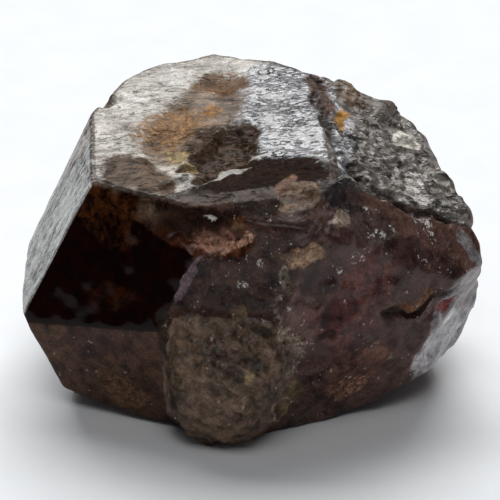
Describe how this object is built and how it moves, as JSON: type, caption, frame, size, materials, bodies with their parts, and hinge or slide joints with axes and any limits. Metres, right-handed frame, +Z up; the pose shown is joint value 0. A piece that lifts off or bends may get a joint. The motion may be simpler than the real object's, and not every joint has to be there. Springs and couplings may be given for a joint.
{
  "type": "rough zircon crystal",
  "caption": "Rough uncut zircon crystal with worn flat faces, an etched hollow on top, a granular shoulder and a rounded lump low at the front.",
  "frame": {"origin": "middle of the crystal's bounding box at its underside, where it rests", "axes": "+X to the right along the longest way, +Y to the back, +Z up"},
  "size_m": [0.0252, 0.0214, 0.0154],
  "materials": {
    "zircon": "glossy dark red-brown crystal, frosted and etched on top"
  },
  "bodies": {
    "root": {"zircon_crystal": "zircon"}
  },
  "joints": []
}
